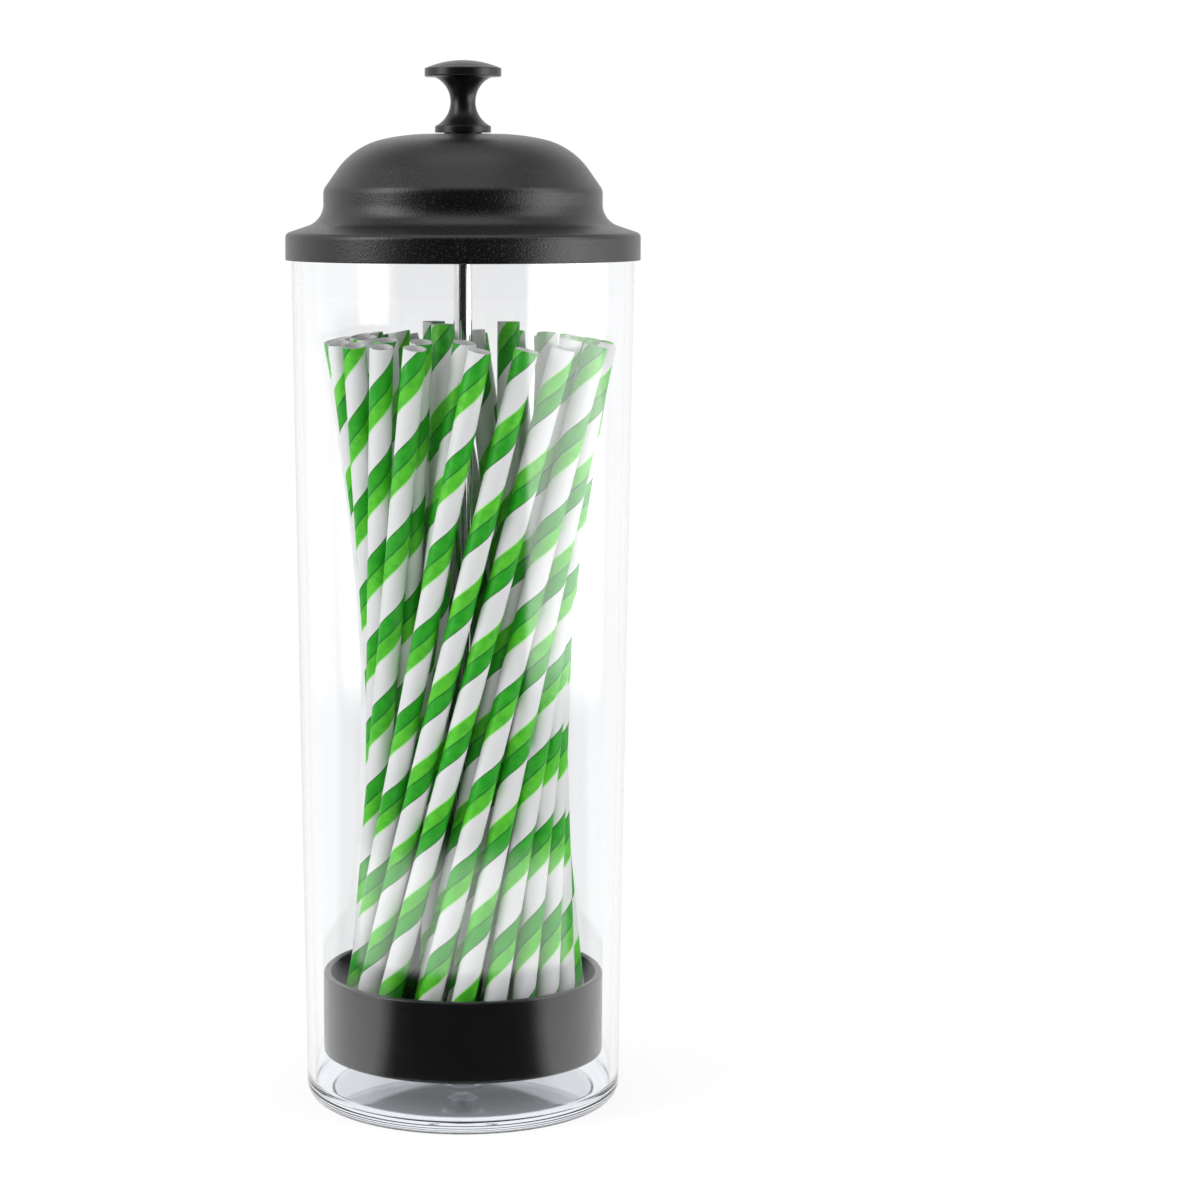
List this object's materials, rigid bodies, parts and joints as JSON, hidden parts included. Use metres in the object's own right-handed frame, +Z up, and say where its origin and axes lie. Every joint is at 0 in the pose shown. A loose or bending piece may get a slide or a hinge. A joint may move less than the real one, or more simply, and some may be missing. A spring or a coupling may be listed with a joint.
{
  "type": "straw dispenser",
  "caption": "Clear round counter-top jar with a domed lid and a pull knob on a rod that lifts out a tray of striped paper straws",
  "frame": {"origin": "centre of the jar's foot, on the surface that it stands on", "axes": "+Z up along the rod, -Y towards the front of the picture, +X to its right"},
  "size_m": [0.094, 0.094, 0.2794],
  "materials": {
    "jar_clear": "clear, polished moulding",
    "lid_black": "matte with a fine grain",
    "knob_black": "satin",
    "tray_black": "satin",
    "rod_steel": "polished steel",
    "hardware_zinc": "bright zinc plate",
    "straw_paper": "smooth white paper with a spiral stripe in two greens"
  },
  "bodies": {
    "jar": {"jar": "jar_clear"},
    "lid": {"lid_shell": "lid_black"},
    "lifter": {"knob": "knob_black", "lift_rod": "rod_steel", "tray": "tray_black", "lid_washer": "hardware_zinc", "lid_nut": "hardware_zinc", "tray_upper_washer": "hardware_zinc", "tray_upper_nut": "hardware_zinc", "tray_lower_washer": "hardware_zinc", "tray_lower_nut": "hardware_zinc"},
    "straw_01": {"straw_01": "straw_paper"},
    "straw_02": {"straw_02": "straw_paper"},
    "straw_03": {"straw_03": "straw_paper"},
    "straw_04": {"straw_04": "straw_paper"},
    "straw_05": {"straw_05": "straw_paper"},
    "straw_06": {"straw_06": "straw_paper"},
    "straw_07": {"straw_07": "straw_paper"},
    "straw_08": {"straw_08": "straw_paper"},
    "straw_09": {"straw_09": "straw_paper"},
    "straw_10": {"straw_10": "straw_paper"},
    "straw_11": {"straw_11": "straw_paper"},
    "straw_12": {"straw_12": "straw_paper"},
    "straw_13": {"straw_13": "straw_paper"},
    "straw_14": {"straw_14": "straw_paper"},
    "straw_15": {"straw_15": "straw_paper"},
    "straw_16": {"straw_16": "straw_paper"},
    "straw_17": {"straw_17": "straw_paper"},
    "straw_18": {"straw_18": "straw_paper"},
    "straw_19": {"straw_19": "straw_paper"},
    "straw_20": {"straw_20": "straw_paper"},
    "straw_21": {"straw_21": "straw_paper"},
    "straw_22": {"straw_22": "straw_paper"},
    "straw_23": {"straw_23": "straw_paper"},
    "straw_24": {"straw_24": "straw_paper"},
    "straw_25": {"straw_25": "straw_paper"},
    "straw_26": {"straw_26": "straw_paper"},
    "straw_27": {"straw_27": "straw_paper"},
    "straw_28": {"straw_28": "straw_paper"},
    "straw_29": {"straw_29": "straw_paper"},
    "straw_30": {"straw_30": "straw_paper"},
    "straw_31": {"straw_31": "straw_paper"},
    "straw_32": {"straw_32": "straw_paper"},
    "straw_33": {"straw_33": "straw_paper"},
    "straw_34": {"straw_34": "straw_paper"},
    "straw_35": {"straw_35": "straw_paper"},
    "straw_36": {"straw_36": "straw_paper"},
    "straw_37": {"straw_37": "straw_paper"},
    "straw_38": {"straw_38": "straw_paper"}
  },
  "joints": [
    {"name": "lid_lift", "type": "slide", "parent": "jar", "child": "lid", "axis": [0, 0, 1], "range_m": [0, 0.24]},
    {"name": "lift_turn", "type": "hinge", "parent": "lid", "child": "lifter", "pos_m": [0, 0, 0.26], "axis": [0, 0, 1], "continuous": true},
    {"name": "fan_01", "type": "hinge", "parent": "lifter", "child": "straw_01", "pos_m": [-0.02953, 0.01107, 0.01643], "axis": [0.9394, -0.3427, 0], "range_deg": [0, 4.96]},
    {"name": "fan_02", "type": "hinge", "parent": "lifter", "child": "straw_02", "pos_m": [-0.03148, -0.00127, 0.01646], "axis": [0.9933, 0.1152, 0], "range_deg": [0, 4.96]},
    {"name": "fan_03", "type": "hinge", "parent": "lifter", "child": "straw_03", "pos_m": [-0.0289, -0.01264, 0.01646], "axis": [0.9, 0.4359, 0], "range_deg": [0, 4.96]},
    {"name": "fan_04", "type": "hinge", "parent": "lifter", "child": "straw_04", "pos_m": [-0.02355, -0.02111, 0.01646], "axis": [0.7329, 0.6803, 0], "range_deg": [0, 4.96]},
    {"name": "fan_05", "type": "hinge", "parent": "lifter", "child": "straw_05", "pos_m": [-0.01294, -0.02904, 0.01645], "axis": [0.4245, 0.9054, 0], "range_deg": [0, 4.96]},
    {"name": "fan_06", "type": "hinge", "parent": "lifter", "child": "straw_06", "pos_m": [-0.00364, -0.03173, 0.01644], "axis": [0.1562, 0.9877, 0], "range_deg": [0, 4.96]},
    {"name": "fan_07", "type": "hinge", "parent": "lifter", "child": "straw_07", "pos_m": [0.00536, -0.03163, 0.01644], "axis": [-0.1036, 0.9946, 0], "range_deg": [0, 4.96]},
    {"name": "fan_08", "type": "hinge", "parent": "lifter", "child": "straw_08", "pos_m": [0.0138, -0.02911, 0.01643], "axis": [-0.3589, 0.9334, 0], "range_deg": [0, 4.96]},
    {"name": "fan_09", "type": "hinge", "parent": "lifter", "child": "straw_09", "pos_m": [0.02146, -0.02419, 0.01643], "axis": [-0.5977, 0.8017, 0], "range_deg": [0, 4.96]},
    {"name": "fan_10", "type": "hinge", "parent": "lifter", "child": "straw_10", "pos_m": [0.02729, -0.0175, 0.01642], "axis": [-0.7888, 0.6146, 0], "range_deg": [0, 4.96]},
    {"name": "fan_11", "type": "hinge", "parent": "lifter", "child": "straw_11", "pos_m": [0.03108, -0.00943, 0.01642], "axis": [-0.9252, 0.3795, 0], "range_deg": [0, 4.96]},
    {"name": "fan_12", "type": "hinge", "parent": "lifter", "child": "straw_12", "pos_m": [0.0325, -0.00047, 0.01642], "axis": [-0.9942, 0.1075, 0], "range_deg": [0, 4.96]},
    {"name": "fan_13", "type": "hinge", "parent": "lifter", "child": "straw_13", "pos_m": [0.03142, 0.00826, 0.01641], "axis": [-0.986, -0.167, 0], "range_deg": [0, 4.96]},
    {"name": "fan_14", "type": "hinge", "parent": "lifter", "child": "straw_14", "pos_m": [0.02787, 0.01659, 0.01641], "axis": [-0.8976, -0.4407, 0], "range_deg": [0, 4.96]},
    {"name": "fan_15", "type": "hinge", "parent": "lifter", "child": "straw_15", "pos_m": [0.0222, 0.02352, 0.01641], "axis": [-0.7349, -0.6781, 0], "range_deg": [0, 4.96]},
    {"name": "fan_16", "type": "hinge", "parent": "lifter", "child": "straw_16", "pos_m": [0.01494, 0.02856, 0.0164], "axis": [-0.512, -0.859, 0], "range_deg": [0, 4.96]},
    {"name": "fan_17", "type": "hinge", "parent": "lifter", "child": "straw_17", "pos_m": [0.00631, 0.03147, 0.01641], "axis": [-0.2358, -0.9718, 0], "range_deg": [0, 4.96]},
    {"name": "fan_18", "type": "hinge", "parent": "lifter", "child": "straw_18", "pos_m": [-0.00251, 0.03186, 0.01641], "axis": [0.0531, -0.9986, 0], "range_deg": [0, 4.96]},
    {"name": "fan_19", "type": "hinge", "parent": "lifter", "child": "straw_19", "pos_m": [-0.01123, 0.02977, 0.01641], "axis": [0.3419, -0.9398, 0], "range_deg": [0, 4.96]},
    {"name": "fan_20", "type": "hinge", "parent": "lifter", "child": "straw_20", "pos_m": [-0.01909, 0.02531, 0.01642], "axis": [0.6011, -0.7991, 0], "range_deg": [0, 4.96]},
    {"name": "fan_21", "type": "hinge", "parent": "lifter", "child": "straw_21", "pos_m": [-0.02524, 0.01902, 0.01642], "axis": [0.8024, -0.5968, 0], "range_deg": [0, 4.96]},
    {"name": "fan_22", "type": "hinge", "parent": "lifter", "child": "straw_22", "pos_m": [-0.0132, -0.02091, 0.01635], "axis": [0.4036, 0.915, 0], "range_deg": [0, 4.96]},
    {"name": "fan_23", "type": "hinge", "parent": "lifter", "child": "straw_23", "pos_m": [-0.00409, -0.02458, 0.01635], "axis": [0.0425, 0.9991, 0], "range_deg": [0, 4.96]},
    {"name": "fan_24", "type": "hinge", "parent": "lifter", "child": "straw_24", "pos_m": [0.00558, -0.02448, 0.01634], "axis": [-0.3189, 0.9478, 0], "range_deg": [0, 4.96]},
    {"name": "fan_25", "type": "hinge", "parent": "lifter", "child": "straw_25", "pos_m": [0.01453, -0.0207, 0.01633], "axis": [-0.6407, 0.7678, 0], "range_deg": [0, 4.96]},
    {"name": "fan_26", "type": "hinge", "parent": "lifter", "child": "straw_26", "pos_m": [0.02143, -0.01367, 0.01633], "axis": [-0.8808, 0.4736, 0], "range_deg": [0, 4.96]},
    {"name": "fan_27", "type": "hinge", "parent": "lifter", "child": "straw_27", "pos_m": [0.02507, -0.0046, 0.01632], "axis": [-0.9943, 0.1065, 0], "range_deg": [0, 4.96]},
    {"name": "fan_28", "type": "hinge", "parent": "lifter", "child": "straw_28", "pos_m": [0.02499, 0.00505, 0.01631], "axis": [-0.9601, -0.2796, 0], "range_deg": [0, 4.96]},
    {"name": "fan_29", "type": "hinge", "parent": "lifter", "child": "straw_29", "pos_m": [0.02118, 0.01404, 0.01631], "axis": [-0.7725, -0.635, 0], "range_deg": [0, 4.96]},
    {"name": "fan_30", "type": "hinge", "parent": "lifter", "child": "straw_30", "pos_m": [0.01415, 0.02094, 0.01631], "axis": [-0.449, -0.8935, 0], "range_deg": [0, 4.96]},
    {"name": "fan_31", "type": "hinge", "parent": "lifter", "child": "straw_31", "pos_m": [0.00513, 0.02457, 0.01631], "axis": [-0.0497, -0.9988, 0], "range_deg": [0, 4.96]},
    {"name": "fan_32", "type": "hinge", "parent": "lifter", "child": "straw_32", "pos_m": [-0.00454, 0.02449, 0.01632], "axis": [0.3567, -0.9342, 0], "range_deg": [0, 4.96]},
    {"name": "fan_33", "type": "hinge", "parent": "lifter", "child": "straw_33", "pos_m": [-0.01357, 0.02067, 0.01633], "axis": [0.704, -0.7102, 0], "range_deg": [0, 4.96]},
    {"name": "fan_34", "type": "hinge", "parent": "lifter", "child": "straw_34", "pos_m": [-0.02045, 0.01365, 0.01634], "axis": [0.9284, -0.3717, 0], "range_deg": [0, 4.96]},
    {"name": "fan_35", "type": "hinge", "parent": "lifter", "child": "straw_35", "pos_m": [-0.02406, 0.00466, 0.01634], "axis": [0.9999, 0.014, 0], "range_deg": [0, 4.96]},
    {"name": "fan_36", "type": "hinge", "parent": "lifter", "child": "straw_36", "pos_m": [-0.00889, -0.0061, 0.01578], "axis": [0.8716, -0.4903, 0], "range_deg": [0, 1.66]},
    {"name": "fan_37", "type": "hinge", "parent": "lifter", "child": "straw_37", "pos_m": [0.01159, 0.00156, 0.01576], "axis": [-0.4129, 0.9108, 0], "range_deg": [0, 1.66]},
    {"name": "fan_38", "type": "hinge", "parent": "lifter", "child": "straw_38", "pos_m": [-0.00592, 0.00917, 0.01575], "axis": [-0.6522, -0.758, 0], "range_deg": [0, 1.66]}
  ],
  "couplings": [
    {"joint": "fan_01", "follows": "lid_lift", "rad_per_m": 0.36},
    {"joint": "fan_02", "follows": "lid_lift", "rad_per_m": 0.36},
    {"joint": "fan_03", "follows": "lid_lift", "rad_per_m": 0.36},
    {"joint": "fan_04", "follows": "lid_lift", "rad_per_m": 0.36},
    {"joint": "fan_05", "follows": "lid_lift", "rad_per_m": 0.36},
    {"joint": "fan_06", "follows": "lid_lift", "rad_per_m": 0.36},
    {"joint": "fan_07", "follows": "lid_lift", "rad_per_m": 0.36},
    {"joint": "fan_08", "follows": "lid_lift", "rad_per_m": 0.36},
    {"joint": "fan_09", "follows": "lid_lift", "rad_per_m": 0.36},
    {"joint": "fan_10", "follows": "lid_lift", "rad_per_m": 0.36},
    {"joint": "fan_11", "follows": "lid_lift", "rad_per_m": 0.36},
    {"joint": "fan_12", "follows": "lid_lift", "rad_per_m": 0.36},
    {"joint": "fan_13", "follows": "lid_lift", "rad_per_m": 0.36},
    {"joint": "fan_14", "follows": "lid_lift", "rad_per_m": 0.36},
    {"joint": "fan_15", "follows": "lid_lift", "rad_per_m": 0.36},
    {"joint": "fan_16", "follows": "lid_lift", "rad_per_m": 0.36},
    {"joint": "fan_17", "follows": "lid_lift", "rad_per_m": 0.36},
    {"joint": "fan_18", "follows": "lid_lift", "rad_per_m": 0.36},
    {"joint": "fan_19", "follows": "lid_lift", "rad_per_m": 0.36},
    {"joint": "fan_20", "follows": "lid_lift", "rad_per_m": 0.36},
    {"joint": "fan_21", "follows": "lid_lift", "rad_per_m": 0.36},
    {"joint": "fan_22", "follows": "lid_lift", "rad_per_m": 0.36},
    {"joint": "fan_23", "follows": "lid_lift", "rad_per_m": 0.36},
    {"joint": "fan_24", "follows": "lid_lift", "rad_per_m": 0.36},
    {"joint": "fan_25", "follows": "lid_lift", "rad_per_m": 0.36},
    {"joint": "fan_26", "follows": "lid_lift", "rad_per_m": 0.36},
    {"joint": "fan_27", "follows": "lid_lift", "rad_per_m": 0.36},
    {"joint": "fan_28", "follows": "lid_lift", "rad_per_m": 0.36},
    {"joint": "fan_29", "follows": "lid_lift", "rad_per_m": 0.36},
    {"joint": "fan_30", "follows": "lid_lift", "rad_per_m": 0.36},
    {"joint": "fan_31", "follows": "lid_lift", "rad_per_m": 0.36},
    {"joint": "fan_32", "follows": "lid_lift", "rad_per_m": 0.36},
    {"joint": "fan_33", "follows": "lid_lift", "rad_per_m": 0.36},
    {"joint": "fan_34", "follows": "lid_lift", "rad_per_m": 0.36},
    {"joint": "fan_35", "follows": "lid_lift", "rad_per_m": 0.36},
    {"joint": "fan_36", "follows": "lid_lift", "rad_per_m": 0.12},
    {"joint": "fan_37", "follows": "lid_lift", "rad_per_m": 0.12},
    {"joint": "fan_38", "follows": "lid_lift", "rad_per_m": 0.12}
  ]
}
